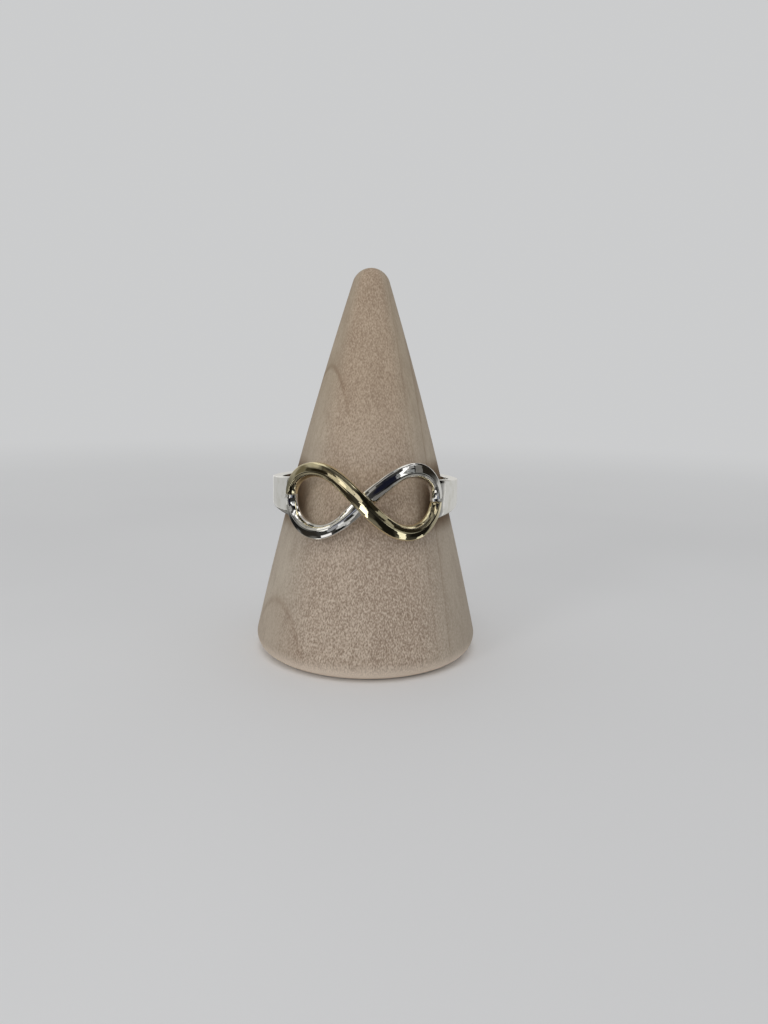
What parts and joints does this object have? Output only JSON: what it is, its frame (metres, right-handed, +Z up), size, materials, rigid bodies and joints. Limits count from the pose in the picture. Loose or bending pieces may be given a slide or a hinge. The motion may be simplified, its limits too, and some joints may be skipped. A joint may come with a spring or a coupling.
{
  "type": "infinity ring on cone stand",
  "caption": "Bicolour infinity ring, a plain tapered band whose front is an infinity sign of crossing gold and silver strands, resting on a rounded wooden display cone.",
  "frame": {"origin": "middle of the cone's flat foot, on the surface it stands on", "axes": "+Z up along the cone, -Y to the front, where the infinity sign is, +X to the viewer's right"},
  "size_m": [0.024, 0.024, 0.0405],
  "materials": {
    "wood": "bare, finely sanded",
    "silver": "polished",
    "gold": "polished"
  },
  "bodies": {
    "root": {"cone_stand": "wood", "silver_ring": "silver", "gold_strand": "gold"}
  },
  "joints": []
}
